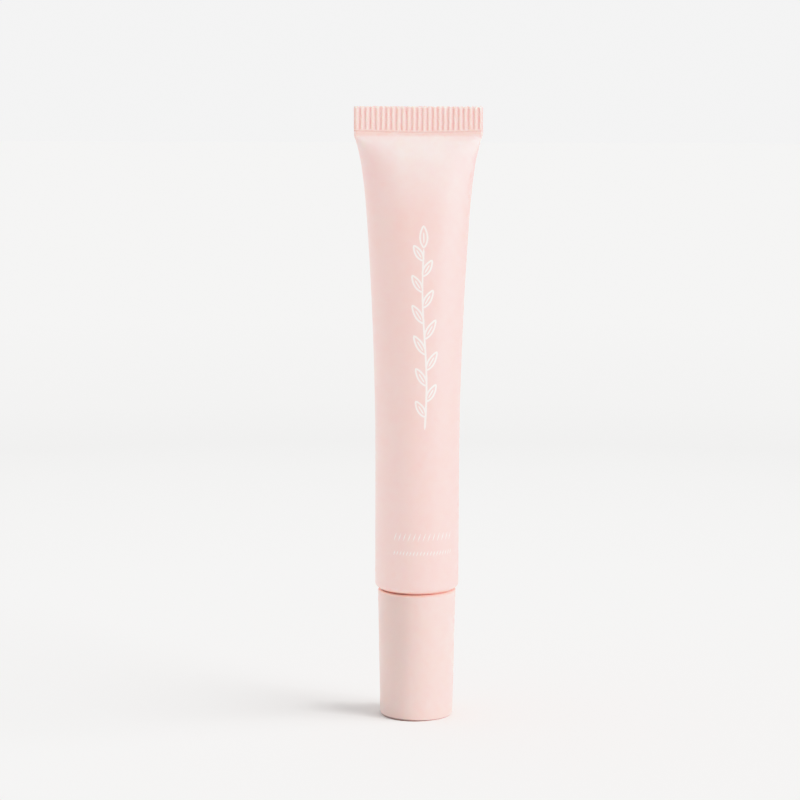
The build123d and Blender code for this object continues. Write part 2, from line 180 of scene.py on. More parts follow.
# ---- materials -------------------------------------------------------------------------------------
SLEEVE_PINK = (0.925, 0.674, 0.634)
SLEEVE_PALE_HIGHLIGHT = (0.950, 0.790, 0.760)  # paler where the sleeve is empty, between the gloss and the seal, and also a painted highlight where its upper face leans back to the light from above
# heights over which the pale shade and its painted highlight come in
PALE_FROM_Z, PALE_ABOVE_Z = SEAL_Z - 15 * MM, SEAL_Z - 3 * MM
SHADE_EDGE = 0.1 * MM  # half the height over which one shade gives way to the next at the seal
RIB_SHADE_RISE = 0.4 * MM  # and the height over which it does so under the ribs
FLANK_PAINTED_SHADE = (0.985, 0.885, 0.885)  # painted shade on the two sides under the seal, where they turn away from the light
FLANK_INNER, FLANK_OUTER = 0.3 * SEAL_HALF_WIDTH, 0.7 * SEAL_HALF_WIDTH
FLANK_FADE = (  # depth below the seal and the share of the painted shade there
    (15 * MM, 0.0),
    (7 * MM, 1.0),
    (4 * MM, 1.0),
    (0.0, 0.2),
    (-SEAL_HEIGHT, 0.0),
)
BAND_PINK = (0.920, 0.700, 0.650)
SEAL_PINK = (0.985, 0.758, 0.693)  # two walls welded into one
SEAL_RIM = (0.990, 0.850, 0.810)  # the thin top edge
NO_TINT = (1.0, 1.0, 1.0)
GROOVE_PAINTED_SHADE = (0.85, 0.73, 0.74)  # painted shade in the crimp's grooves, which are also pressed denser
GROOVE_FROM, GROOVE_FULL = 0.12, 0.55  # depth in a groove where its tint starts and where it is full
FOOT_LINE_PAINTED_SHADE = (0.82, 0.74, 0.74)  # painted shade along the line pressed under the ribs, which is also pressed denser
CAP_PINK = (0.768, 0.603, 0.567)
EDGE_PAINTED_GLOW = (0.975, 0.640, 0.560)  # painted glow of the light that comes through the thin edges on each side of the parting line
EDGE_REACH = 0.45 * MM  # height over which the painted glow fades
LIP_PAINTED_SHADE = (0.600, 0.225, 0.205)  # painted shade in the parting gap, on the lip between them, reddened by the light that comes through the pink walls
LIP_SHADE_EDGE = 0.05 * MM  # height over which the painted gap shade gives way to the painted glow
FOOT_PAINTED_SHADE = (0.430, 0.290, 0.270)  # painted shade on the low ring under the cap, where the cap meets the floor
FOOT_SHADE_EDGE = 0.04 * MM  # half the height over which it gives way to the cap's pink


def add_maths(tree, operation, *values):
    """A Math node fed with numbers and sockets."""
    node = tree.nodes.new("ShaderNodeMath")
    node.operation = operation
    for socket, value in zip(node.inputs, values):
        if isinstance(value, (int, float)):
            socket.default_value = value
        else:
            tree.links.new(value, socket)
    return node.outputs[0]


class Nodes:
    """A short way to write a material's node tree."""

    def __init__(self, name):
        self.material = bpy.data.materials.new(name)
        self.material.use_nodes = True
        self.tree = self.material.node_tree
        self.shader = self.tree.nodes["Principled BSDF"]

    def add(self, kind, **inputs):
        """A new node. An input's name is written with underscores for its spaces."""
        node = self.tree.nodes.new(kind)
        for key, value in inputs.items():
            node.inputs[key.replace("_", " ")].default_value = value
        return node

    def link(self, source, target):
        self.tree.links.new(source, target)

    def place(self):
        """X, Y and Z on the object, as sockets."""
        parts = self.add("ShaderNodeSeparateXYZ")
        self.link(self.add("ShaderNodeTexCoord").outputs["Object"], parts.inputs[0])
        return parts.outputs

    def maths(self, operation, *values):
        return add_maths(self.tree, operation, *values)

    def multiply(self, colour, tint):
        node = self.add("ShaderNodeVectorMath")
        node.operation = "MULTIPLY"
        self.link(colour, node.inputs[0])
        self.link(tint, node.inputs[1])
        return node.outputs["Vector"]

    def noise(self, scale, detail=2.0, roughness=0.5):
        node = self.add("ShaderNodeTexNoise", Scale=scale, Detail=detail, Roughness=roughness)
        coordinates = self.add("ShaderNodeTexCoord")
        self.link(coordinates.outputs["Object"], node.inputs["Vector"])
        return node.outputs["Fac"]

    def stops(self, factor, stops):
        """Colour ramp from pairs of a position and the colour there."""
        node = self.tree.nodes.new("ShaderNodeValToRGB")
        while len(node.color_ramp.elements) < len(stops):
            node.color_ramp.elements.new(0.5)
        for element, (position, colour) in zip(node.color_ramp.elements, stops):
            element.position = position
            element.color = (*colour, 1)
        self.link(factor, node.inputs["Fac"])
        return node.outputs["Color"]

    def ramp(self, factor, low, high, low_at=0.3, high_at=0.7):
        """Maps a texture's range onto two colours."""
        return self.stops(factor, ((low_at, low), (high_at, high)))

    def shade_by_height(self, shades):
        """Colour that changes with height, from pairs of a height and the colour there."""
        low, high = shades[0][0], shades[-1][0]
        stops = [((z - low) / (high - low), colour) for z, colour in shades]
        return self.stops(self.spread(self.place()["Z"], low, high), stops)

    def spread(self, value, low, high):
        """0 at low and 1 at high, and held there beyond them."""
        node = self.add("ShaderNodeMapRange", From_Min=low, From_Max=high)
        self.link(value, node.inputs["Value"])
        return node.outputs["Result"]

    def map_range(self, factor, low, high):
        """A texture's middle range spread from low to high."""
        node = self.add("ShaderNodeMapRange", From_Min=0.3, From_Max=0.7, To_Min=low, To_Max=high)
        self.link(factor, node.inputs["Value"])
        return node.outputs["Result"]

    def bump(self, factor, distance, strength=1.0, below=None):
        node = self.add("ShaderNodeBump", Strength=strength, Distance=distance)
        self.link(factor, node.inputs["Height"])
        if below is not None:
            self.link(below, node.inputs["Normal"])
        return node.outputs["Normal"]

    def set(self, name, value):
        self.shader.inputs[name].default_value = value


# Moulded plastic: how fine its textures are, how high its bumps, and how far each colour of light spreads.
DRIFT_SCALE, GLOSS_SCALE, WAVE_SCALE, GRAIN_SCALE = 90, 420, 260, 9000
WAVE_HEIGHT, GRAIN_HEIGHT = 0.006 * MM, 0.0025 * MM
GLOSS_DRIFT = 0.04
LIGHT_SPREAD = (1.0, 0.42, 0.32)


def moulded_plastic(name, shades, roughness, subsurface, radius_mm, grain=GRAIN_SCALE, tint=None):
    """Plastic with a fine moulded grain, slight colour drift and uneven gloss.

    shades are pairs of a height and the colour there, from the lowest to the highest. tint makes a
    pattern that the colour is multiplied by.
    """
    nodes = Nodes(name)
    drift = nodes.ramp(nodes.noise(DRIFT_SCALE, detail=3), (0.990,) * 3, NO_TINT)
    colour = nodes.multiply(nodes.shade_by_height(shades), drift)
    if tint is not None:
        colour = nodes.multiply(colour, tint(nodes))
    nodes.link(colour, nodes.shader.inputs["Base Color"])
    speckle = nodes.noise(GLOSS_SCALE, detail=4)
    gloss = nodes.map_range(speckle, roughness - GLOSS_DRIFT, roughness + GLOSS_DRIFT)
    nodes.link(gloss, nodes.shader.inputs["Roughness"])
    waves = nodes.bump(nodes.noise(WAVE_SCALE, detail=2), WAVE_HEIGHT)
    fine = nodes.bump(nodes.noise(grain, detail=2), GRAIN_HEIGHT, below=waves)
    nodes.link(fine, nodes.shader.inputs["Normal"])
    nodes.set("IOR", 1.5)
    nodes.set("Subsurface Weight", subsurface)
    nodes.set("Subsurface Radius", LIGHT_SPREAD)
    nodes.set("Subsurface Scale", radius_mm * MM)
    return nodes


def above_rib_feet(nodes):
    """Height above the feet of the ribs, which sag at the middle as in seal_ring_points()."""
    place = nodes.place()
    share = nodes.maths("DIVIDE", place["X"], SEAL_HALF_WIDTH)
    sag = nodes.maths("MULTIPLY_ADD", nodes.maths("MULTIPLY", share, share), -RIB_SAG, RIB_SAG)
    return nodes.maths("SUBTRACT", nodes.maths("ADD", place["Z"], sag), SEAL_Z + SEAL_BAND)


def foot_line_painted_shade(nodes):
    """White, but darker pink along the line pressed just under the ribs: painted shade."""
    away = nodes.maths("ABSOLUTE", nodes.maths("ADD", above_rib_feet(nodes), FOOT_LINE_DROP))
    clear = nodes.spread(away, FOOT_LINE_WIDTH / 4, FOOT_LINE_WIDTH / 2)
    return nodes.ramp(clear, FOOT_LINE_PAINTED_SHADE, NO_TINT, 0.0, 1.0)


def groove_painted_shade(nodes):
    """White, but darker pink in the crimp's grooves, in step with rib_height(): painted shade, where the
    grooves are also pressed denser.
    """
    place = nodes.place()
    turns = nodes.maths("MULTIPLY", place["X"], math.pi * RIB_COUNT / SEAL_HALF_WIDTH)
    groove = nodes.maths("MULTIPLY_ADD", nodes.maths("COSINE", turns), -0.5, 0.5)
    on_ribs = nodes.maths("GREATER_THAN", above_rib_feet(nodes), 0.0)
    fade = nodes.spread(place["Z"], TOP_Z, TOP_Z - RIB_FADE)
    shade = nodes.maths("MULTIPLY", nodes.maths("MULTIPLY", groove, on_ribs), fade)
    return nodes.ramp(shade, NO_TINT, GROOVE_PAINTED_SHADE, GROOVE_FROM, GROOVE_FULL)


def flank_painted_shade(nodes):
    """White, but pinker on both flanks below the seal: painted shade where the wall turns away from the
    light.
    """
    out = nodes.spread(nodes.maths("ABSOLUTE", nodes.place()["X"]), FLANK_INNER, FLANK_OUTER)
    flank_shade_share = nodes.shade_by_height([(SEAL_Z - depth, (share,) * 3) for depth, share in FLANK_FADE])
    return nodes.ramp(nodes.maths("MULTIPLY", out, flank_shade_share), NO_TINT, FLANK_PAINTED_SHADE, 0.0, 1.0)


def sleeve_tint(nodes):
    """The three tints of the sleeve together, each a painted shade."""
    crimp = nodes.multiply(groove_painted_shade(nodes), foot_line_painted_shade(nodes))
    return nodes.multiply(crimp, flank_painted_shade(nodes))


def sleeve_plastic():
    """Satin pink polyethylene."""
    shades = (
        # painted shade in the parting gap, on the lip
        (SHOULDER_Z - LIP_DROP, LIP_PAINTED_SHADE),
        (SHOULDER_Z - LIP_SHADE_EDGE, LIP_PAINTED_SHADE),
        # painted glow along the sleeve's edge at the parting line
        (SHOULDER_Z, EDGE_PAINTED_GLOW),
        (SHOULDER_Z + EDGE_REACH, SLEEVE_PINK),
        # the pale stretch under the seal, partly a painted highlight
        (PALE_FROM_Z, SLEEVE_PINK),
        (PALE_ABOVE_Z, SLEEVE_PALE_HIGHLIGHT),
        (SEAL_Z - SHADE_EDGE, SLEEVE_PALE_HIGHLIGHT),
        (SEAL_Z + SHADE_EDGE, BAND_PINK),
        (SEAL_Z + SEAL_BAND - RIB_SHADE_RISE, BAND_PINK),
        (SEAL_Z + SEAL_BAND, SEAL_PINK),
        (TOP_Z - RIB_FADE, SEAL_PINK),
        (TOP_Z, SEAL_RIM),
    )
    nodes = moulded_plastic("sleeve_polyethylene", shades, 0.33, 0.4, 0.5, tint=sleeve_tint)
    nodes.set("IOR", 1.55)
    nodes.set("Specular IOR Level", 1.0)
    nodes.set("Sheen Weight", 0.12)
    nodes.set("Sheen Roughness", 0.5)
    return nodes.material


def cap_plastic():
    """Matt pink polypropylene."""
    shades = (
        # painted shade on the low ring where the cap meets the floor
        (0.0, FOOT_PAINTED_SHADE),
        (FOOT_HEIGHT - FOOT_SHADE_EDGE, FOOT_PAINTED_SHADE),
        (FOOT_HEIGHT + FOOT_SHADE_EDGE, CAP_PINK),
        # painted glow along the rim at the parting line
        (CAP_HEIGHT - EDGE_REACH, CAP_PINK),
        (CAP_HEIGHT, EDGE_PAINTED_GLOW),
    )
    nodes = moulded_plastic("cap_polypropylene", shades, 0.46, 0.6, 0.8, grain=7000)
    nodes.set("Sheen Weight", 0.1)
    nodes.set("Sheen Roughness", 0.5)
    return nodes.material


def white_ink():
    """Opaque creamy screen ink with a fine speckle."""
    nodes = Nodes("white_ink")
    speck = nodes.noise(6000, detail=3)
    colour = nodes.ramp(speck, (0.945, 0.858, 0.828), (0.965, 0.892, 0.868))
    nodes.link(colour, nodes.shader.inputs["Base Color"])
    nodes.link(nodes.map_range(speck, 0.42, 0.55), nodes.shader.inputs["Roughness"])
    nodes.link(nodes.bump(speck, 0.002 * MM), nodes.shader.inputs["Normal"])
    return nodes.material


def one_shade(colour):
    return ((0.0, colour), (CAP_HEIGHT, colour))


def soft_elastomer():
    """The applicator tip's soft rubber."""
    shades = one_shade((0.86, 0.66, 0.62))
    return moulded_plastic("tip_elastomer", shades, 0.38, 0.5, 0.5, grain=12000).material


def natural_plastic(name, colour):
    """Plain moulded plastic of the pieces inside."""
    return moulded_plastic(name, one_shade(colour), 0.34, 0.5, 0.6).material


def foam_liner():
    """Closed-cell foam of the sealing ring."""
    nodes = Nodes("foam_liner")
    cells = nodes.add("ShaderNodeTexVoronoi", Scale=5000)
    coordinates = nodes.add("ShaderNodeTexCoord")
    nodes.link(coordinates.outputs["Object"], cells.inputs["Vector"])
    distance = cells.outputs["Distance"]
    colour = nodes.ramp(distance, (0.72, 0.69, 0.66), (0.86, 0.84, 0.81), 0.1, 0.8)
    nodes.link(colour, nodes.shader.inputs["Base Color"])
    nodes.link(nodes.bump(distance, 0.02 * MM), nodes.shader.inputs["Normal"])
    nodes.link(nodes.map_range(distance, 0.7, 0.85), nodes.shader.inputs["Roughness"])
    return nodes.material


def pink_gel():
    """The gloss, clear and wet."""
    nodes = Nodes("pink_gel")
    swirl = nodes.noise(180, detail=4, roughness=0.6)
    nodes.link(nodes.ramp(swirl, (0.80, 0.30, 0.33), (0.88, 0.42, 0.44)), nodes.shader.inputs["Base Color"])
    nodes.link(nodes.map_range(swirl, 0.06, 0.14), nodes.shader.inputs["Roughness"])
    nodes.link(nodes.bump(swirl, 0.03 * MM), nodes.shader.inputs["Normal"])
    nodes.set("Subsurface Weight", 0.6)
    nodes.set("Subsurface Radius", (1.0, 0.3, 0.3))
    nodes.set("Subsurface Scale", 1.2 * MM)
    nodes.set("Coat Weight", 1.0)
    nodes.set("Coat Roughness", 0.03)
    return nodes.material


# ---- sleeve shape ----------------------------------------------------------------------------------
def flare(z):
    """Share of the widening reached at height z, 0 on the round tube and 1 at the seal."""
    t = max(0.0, (z - ROUND_TOP_Z) / (SEAL_Z - ROUND_TOP_Z))
    return SOFT_FLARE * t**SOFT_POWER + SHARP_FLARE * t**SHARP_POWER


def superellipse(half_width, half_thickness, exponent, angle):
    c, s = math.cos(angle), math.sin(angle)
    reach = (abs(c) ** exponent + abs(s) ** exponent) ** (-1 / exponent)
    return half_width * reach * c, half_thickness * reach * s


def perimeter(half_width, half_thickness, exponent):
    """Length round a superellipse, from short chords along one quarter of it."""
    angles = [math.pi / 2 * i / QUARTER_STEPS for i in range(QUARTER_STEPS + 1)]
    points = [superellipse(half_width, half_thickness, exponent, angle) for angle in angles]
    return 4 * sum(math.dist(p, q) for p, q in zip(points, points[1:]))


MIDDLE_RADIUS = TUBE_RADIUS - WALL / 2
ROUND_PERIMETER = 2 * math.pi * MIDDLE_RADIUS
MIDDLE_TOP_HALF_WIDTH = SEAL_HALF_WIDTH - WALL / 2
FLAT_PERIMETER = 4 * MIDDLE_TOP_HALF_WIDTH  # the weld draws the flattened sleeve in a little


def middle_section(z):
    """Half width, half thickness and exponent of the wall's middle line at height z."""
    share = flare(z)
    exponent = 2.0 + FULLNESS * smooth(share)
    half_width = lerp(MIDDLE_RADIUS, MIDDLE_TOP_HALF_WIDTH, share)
    whole = lerp(ROUND_PERIMETER, FLAT_PERIMETER, share)
    low, high = WALL / 2, TUBE_RADIUS
    for _ in range(HALVINGS):
        half_thickness = (low + high) / 2
        if perimeter(half_width, half_thickness, exponent) < whole:
            low = half_thickness
        else:
            high = half_thickness
    return half_width, low, exponent


# X as a share of the half width for each point along one face of the seal, even within every rib.
COLUMN_STEPS = RIB_COUNT * STEPS_PER_RIB
COLUMNS = [1 - 2 * i / COLUMN_STEPS for i in range(COLUMN_STEPS + 1)]


def sleeve_ring(z, offset):
    """Points round the sleeve at height z: along the back from +X to -X, then along the front.

    They are even in angle on the round tube, and line up with the seal's columns where it flattens.
    """
    half_width, half_thickness, exponent = middle_section(z)
    half_width += offset
    half_thickness += offset
    flattened = smooth((flare(z) - FLATTENS_FROM) / (1 - FLATTENS_FROM))
    ring = []
    for side in (1, -1):
        for i, share in enumerate(COLUMNS[:-1]):
            across = lerp(math.cos(math.pi * i / COLUMN_STEPS), share, flattened)
            deep = (1 - abs(across) ** exponent) ** (1 / exponent)
            ring.append((side * across * half_width, side * deep * half_thickness, z))
    return ring


def rib_height(share):
    """Height of the crimp ribs, 0 in a groove and 1 on a ridge, at a place along the seal."""
    return 0.5 - 0.5 * math.cos(2 * math.pi * (share + 1) / 2 * RIB_COUNT)


def seal_ring_points(z, rise, sag=0.0, inset=0.0):
    """Points round the flat seal at height z.

    rise is how far the ribs stand here, from 0 to 1. sag is how far the row dips at the middle, and inset is
    how far each face is pressed in.
    """
    ring = []
    for side in (1, -1):
        for share in COLUMNS[:-1]:
            end = math.sqrt(max(0.0, 1 - abs(share) ** SEAL_END_SQUARENESS))
            thickness = SEAL_HALF_THICKNESS + RIB_DEPTH * rise * (rib_height(share) - 0.5) - inset
            dip = sag * (1 - share**2)
            ring.append((side * share * SEAL_HALF_WIDTH, side * thickness * end, z - dip))
    return ring


def sleeve_heights(low, high):
    """Heights of the rows between the curl and the seal, closer together towards the seal."""
    rows = []
    z = low
    while z < high:
        rows.append(z)
        z += lerp(FINE_ROW, COARSE_ROW, smooth((high - z) / ROW_BLEND))
    return rows


def curl_rows(radius, bottom_z, edge, steps=6):
    """Round rows from the mouth's flat underside up round the curled edge."""
    rows = []
    for i in range(steps + 1):
        angle = math.pi / 2 * i / steps
        rows.append((radius - edge + edge * math.sin(angle), bottom_z + edge * (1 - math.cos(angle))))
    return rows


def make_sleeve(material):
    """The sleeve as one closed wall, from the lip under its shoulder to the ribbed seal."""
    points, faces = [], []

    def add_row(ring):
        start = len(points)
        points.extend(ring)
        return list(range(start, start + len(ring)))

    count = 2 * COLUMN_STEPS

    def circle(radius, z):
        angles = [2 * math.pi * i / count for i in range(count)]
        return [(radius * math.cos(a), radius * math.sin(a), z) for a in angles]

    lip_z = SHOULDER_Z - LIP_DROP
    outer = [add_row(circle(MOUTH_RADIUS - LIP_WALL, lip_z))]
    outer.append(add_row(circle(MOUTH_RADIUS, lip_z)))
    outer.append(add_row(circle(MOUTH_RADIUS, SHOULDER_Z)))
    outer += [add_row(circle(r, z)) for r, z in curl_rows(TUBE_RADIUS, SHOULDER_Z, SHOULDER_EDGE)]
    for z in sleeve_heights(SHOULDER_Z + CURL_TOP, SEAL_Z):
        outer.append(add_row(sleeve_ring(z, WALL / 2)))
    rib_z = SEAL_Z + SEAL_BAND
    line_z = rib_z - FOOT_LINE_DROP
    top_z = TOP_Z - SEAL_TOP_EDGE
    seal_rows = (  # height, rise, sag and inset of each row, as in seal_ring_points()
        (SEAL_Z, 0.0, 0.0, 0.0),
        (lerp(SEAL_Z, rib_z, 0.3), 0.0, 0.3 * RIB_SAG, 0.0),
        (line_z - FOOT_LINE_WIDTH / 2, 0.0, RIB_SAG, 0.0),
        (line_z - FOOT_LINE_WIDTH / 5, 0.0, RIB_SAG, FOOT_LINE_DEPTH),
        (line_z + FOOT_LINE_WIDTH / 5, 0.0, RIB_SAG, FOOT_LINE_DEPTH),
        (line_z + FOOT_LINE_WIDTH / 2, 0.0, RIB_SAG, 0.0),
        (rib_z, 0.1, RIB_SAG, 0.0),
        (rib_z + 0.33 * RIB_RUN_IN, 0.6, RIB_SAG, 0.0),
        (rib_z + RIB_RUN_IN, 1.0, RIB_SAG, 0.0),
        (lerp(rib_z, top_z, 0.35), 1.0, RIB_SAG / 2, 0.0),
        (lerp(rib_z, top_z, 0.7), 1.0, 0.0, 0.0),
        (TOP_Z - RIB_FADE, 1.0, 0.0, 0.0),
        (lerp(TOP_Z - RIB_FADE, top_z, 0.5), 0.7, 0.0, 0.0),
        (top_z, TOP_RISE, 0.0, TOP_INSET),
    )
    outer += [add_row(seal_ring_points(*row)) for row in seal_rows]
    for lower, upper in zip(outer, outer[1:]):
        bridge(faces, lower, upper)

    # The top face of the seal: its front and back edges are drawn in a little, then joined across.
    rim = [(x, y * TOP_DRAW_IN, TOP_Z) for x, y, _ in seal_ring_points(top_z, TOP_RISE)]
    top = add_row(rim)
    bridge(faces, outer[-1], top)
    for i in range(COLUMN_STEPS):
        a, b = top[i], top[i + 1]
        c, d = top[(count - i - 1) % count], top[(count - i) % count]
        faces.append(tuple(dict.fromkeys((a, b, c, d))))

    # The inner wall, from the mouth up to where the two faces are welded together.
    weld_z = SEAL_Z - WELD_DEPTH
    inner = [add_row(circle(MOUTH_RADIUS - LIP_WALL, SHOULDER_Z + WALL))]
    bridge(faces, inner[0], outer[0])
    curl = curl_rows(TUBE_RADIUS - WALL, SHOULDER_Z + WALL, SHOULDER_EDGE - WALL)
    inner += [add_row(circle(r, z)) for r, z in curl]
    for z in sleeve_heights(SHOULDER_Z + CURL_TOP, weld_z):
        inner.append(add_row(sleeve_ring(z, -WALL / 2)))
    for lower, upper in zip(inner, inner[1:]):
        bridge(faces, upper, lower)
    last = inner[-1]
    for i in range(COLUMN_STEPS):
        a, b = last[i], last[i + 1]
        c, d = last[(count - i - 1) % count], last[(count - i) % count]
        faces.append(tuple(dict.fromkeys((d, c, b, a))))

    piece = new_piece("sleeve", points, faces, material, "tube")
    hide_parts("tube_sleeve")


# ---- cap shape -------------------------------------------------------------------------------------
def rounded_profile(corners):
    """A closed outline of (radius, z) corners, each rounded by its own radius."""
    outline = []
    for i, (x, z, rounding, steps) in enumerate(corners):
        here = Vector((x, z))
        before = Vector(corners[i - 1][:2])
        after = Vector(corners[(i + 1) % len(corners)][:2])
        if rounding == 0:
            outline.append((x, z))
            continue
        to_before, to_after = (before - here).normalized(), (after - here).normalized()
        half_angle = to_before.angle(to_after) / 2
        reach = rounding / math.tan(half_angle)
        centre = here + (to_before + to_after).normalized() * (rounding / math.sin(half_angle))
        start, end = here + to_before * reach - centre, here + to_after * reach - centre
        for k in range(steps + 1):
            turn = start.lerp(end, k / steps).normalized() * rounding
            outline.append(tuple(centre + turn))
    return outline


def lathe(name, outline, material, body, steps=CAP_STEPS):
    """A solid of revolution. The outline starts and ends on the axis."""
    points, faces, rows = [], [], []
    for radius, z in outline:
        if radius < 1e-7:
            rows.append([len(points)])
            points.append((0, 0, z))
        else:
            rows.append(list(range(len(points), len(points) + steps)))
            angles = [2 * math.pi * i / steps for i in range(steps)]
            points.extend((radius * math.cos(a), radius * math.sin(a), z) for a in angles)
    for lower, upper in zip(rows, rows[1:]):
        if len(lower) == 1:
            faces.extend((lower[0], upper[i], upper[(i + 1) % steps]) for i in range(steps))
        elif len(upper) == 1:
            faces.extend((upper[0], lower[(i + 1) % steps], lower[i]) for i in range(steps))
        else:
            bridge(faces, lower, upper)
    return new_piece(name, points, faces, material, body)


def make_cap(material):
    """The cap's outer cup, with the low ring that it stands on."""

    def outer(z):
        return lerp(CAP_BASE_RADIUS, CAP_RIM_RADIUS, z / CAP_HEIGHT)

    outline = [(0, GATE_DEPTH), (0.5 * GATE_RADIUS, GATE_DEPTH)]
    outline += rounded_profile(
        [
            (0.5 * GATE_RADIUS, GATE_DEPTH, 0, 0),
            (GATE_RADIUS, BASE_RECESS, SMALL_EDGE, 3),
            (CAP_BASE_RADIUS - RECESS_INSET, BASE_RECESS, SMALL_EDGE, 3),
            (CAP_BASE_RADIUS - FOOT_INNER_INSET, 0.0, SMALL_EDGE, 3),
            (CAP_BASE_RADIUS - FOOT_INSET - SMALL_EDGE, 0.0, FOOT_EDGE, 3),
            (CAP_BASE_RADIUS - FOOT_INSET, FOOT_HEIGHT, FOOT_EDGE, 3),
            (CAP_BASE_RADIUS, FOOT_HEIGHT, BASE_EDGE, 6),
            (outer(0.5 * CAP_HEIGHT), 0.5 * CAP_HEIGHT, 0, 0),
            (CAP_RIM_RADIUS, CAP_HEIGHT, RIM_OUTER_EDGE, 8),
            (CAP_RIM_RADIUS - CAP_WALL, CAP_HEIGHT, RIM_INNER_EDGE, 5),
            (CAP_BASE_RADIUS - CAP_WALL, CAP_FLOOR, 0, 0),
            (0.5 * GATE_RADIUS, CAP_FLOOR, 0, 0),
        ]
    )[1:-1]
    outline.append((0, CAP_FLOOR))
    piece = lathe("cap_cup", outline, material, "cap")
    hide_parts("cap_shell")


# ---- print -----------------------------------------------------------------------------------------
def on_front(across, z, lift):
    """The point on the sleeve's front at a distance across from the middle line, lifted off the surface."""
    half_width, half_thickness, exponent = middle_section(z)
    half_width += WALL / 2 + lift
    half_thickness += WALL / 2 + lift
    radius = half_width**2 / half_thickness  # radius of curvature at the middle of the front
    x = radius * math.sin(across / radius)
    y = half_thickness * (1 - (abs(x) / half_width) ** exponent) ** (1 / exponent)
    return (x, -y, z)


def stroke_outline(line, width, taper=0.0):
    """Left and right edges of a line drawn with a round-ended pen, as pairs of (across, up) points."""
    pairs = []
    count = len(line)
    for i, point in enumerate(line):
        before, after = line[max(0, i - 1)], line[min(count - 1, i + 1)]
        along = Vector((after[0] - before[0], after[1] - before[1])).normalized()
        side = Vector((-along.y, along.x))
        t = i / (count - 1)
        half = width / 2 * (1 - taper * t)
        end = min(i, count - 1 - i) * math.dist(line[0], line[1])
        if end < half:
            half *= math.sqrt(max(0.05, 1 - (1 - end / half) ** 2))
        pairs.append((Vector(point) + side * half, Vector(point) - side * half))
    return pairs


class Ink:
    """Collects strokes as thin raised ribbons that follow the sleeve's front."""

    def __init__(self):
        self.points, self.faces = [], []

    def stroke(self, line, width, taper=0.0):
        pairs = stroke_outline(line, width, taper)
        rows = []
        for left, right in pairs:
            row = []
            for point, lift in ((left, 0.0), (left, INK_THICKNESS), (right, INK_THICKNESS), (right, 0.0)):
                row.append(len(self.points))
                self.points.append(on_front(point.x, point.y, lift))
            rows.append(row)
        for lower, upper in zip(rows, rows[1:]):
            bridge(self.faces, lower, upper)
        self.faces.append(tuple(rows[0]))
        self.faces.append(tuple(reversed(rows[-1])))


def curve(start, control, end, steps=14):
    """Points along a quadratic curve."""
    points = []
    for i in range(steps + 1):
        t = i / steps
        a, b, c = (1 - t) ** 2, 2 * t * (1 - t), t**2
        points.append(tuple(a * s + b * k + c * e for s, k, e in zip(start, control, end)))
    return points


def stem_at(t):
    """The stem's gentle S, t from 0 at the foot to 1 at the top leaf."""
    return (STEM_SWAY * math.sin(2 * math.pi * t), lerp(SPRIG_LOW_Z, SPRIG_HIGH_Z - TOP_LEAF_LENGTH, t))


def leaf(ink, root, direction, length, half_width):
    """An open almond leaf: two curved edges from root to tip, and a short vein."""
    along = Vector(direction).normalized()
    across = Vector((-along.y, along.x))
    root = Vector(root)
    tip = root + along * length
    for side in (1, -1):
        belly = root + along * (LEAF_BELLY * length) + across * (side * half_width * 2)
        ink.stroke(curve(root, belly, tip), LEAF_LINE)
    vein = [root + along * share * length for share in VEIN_SHARES]
    ink.stroke(curve(*vein, steps=6), VEIN_LINE)


def make_print(material):
    """A sprig of leaves up the front, and two rows of slanted dashes below it."""
    ink = Ink()
    ink.stroke([stem_at(i / STEM_STEPS) for i in range(STEM_STEPS + 1)], STEM_WIDTH, STEM_TAPER)
    for i in range(SPRIG_LEAVES):
        t = LEAVES_FROM + LEAVES_SPAN * i / (SPRIG_LEAVES - 1)
        side = 1 if i % 2 else -1
        length = lerp(LEAF_LONGEST, LEAF_SHORTEST, 2 * abs(t - LONGEST_AT))
        leaf(ink, stem_at(t), (side * LEAF_DIRECTION[0], LEAF_DIRECTION[1]), length, LEAF_HALF_WIDTH)
    leaf(ink, stem_at(1.0), (0.0, 1.0), TOP_LEAF_LENGTH, TOP_LEAF_HALF_WIDTH)
    new_piece("front_sprig", ink.points, ink.faces, material, "tube", smooth_shading=False)

    rows = Ink()
    for z, height, count, span in DASH_ROWS:
        lean, rise = DASH_SLANT * height, height / 2
        for i in range(count):
            x = lerp(-span / 2, span / 2, i / (count - 1))
            rows.stroke([(x - lean, z - rise), (x, z), (x + lean, z + rise)], DASH_LINE)
    new_piece("front_dashes", rows.points, rows.faces, material, "tube", smooth_shading=False)


# ---- CAD nodes that stay ---------------------------------------------------------------------------
def dress(node, material):
    """Gives a CAD node its finished material."""
    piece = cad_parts[node]
    piece.data.materials.clear()
    piece.data.materials.append(material)


# ---- studio ----------------------------------------------------------------------------------------
CAMERA_DISTANCE = 0.421
CAMERA_HEIGHT = 0.1123
CAMERA_AZIMUTH = math.radians(-10)
CAMERA_PITCH = math.radians(6.935)
CAMERA_YAW = math.radians(0.475)
CAMERA_ROLL = math.radians(-0.18)
LENS_MM, SENSOR_MM = 100, 36
CLIP_NEAR, CLIP_FAR = 0.01, 20

# Each lamp is a large far panel: its azimuth and elevation as in studio_direction, and its strength.
PANEL_SPREAD = 60  # degrees across
KEY = ((77, 20), 6.6)
TOP = ((25, 70), 0.6)

# The surroundings glow softly from the left and from behind, and the backdrop is one even pale grey.
SIDE_GLOW = (((-90, 0), 1.7), ((180, 5), 1.15))
LOWEST_GLOW = 0.04
BACKDROP_LEVEL = 1.16
FLOOR_RINGS = (0.5, 2.0, 8.0, 40.0)
FLOOR_STEPS = 96
PAPER_WARMTH = (1.0, 0.996, 0.988)
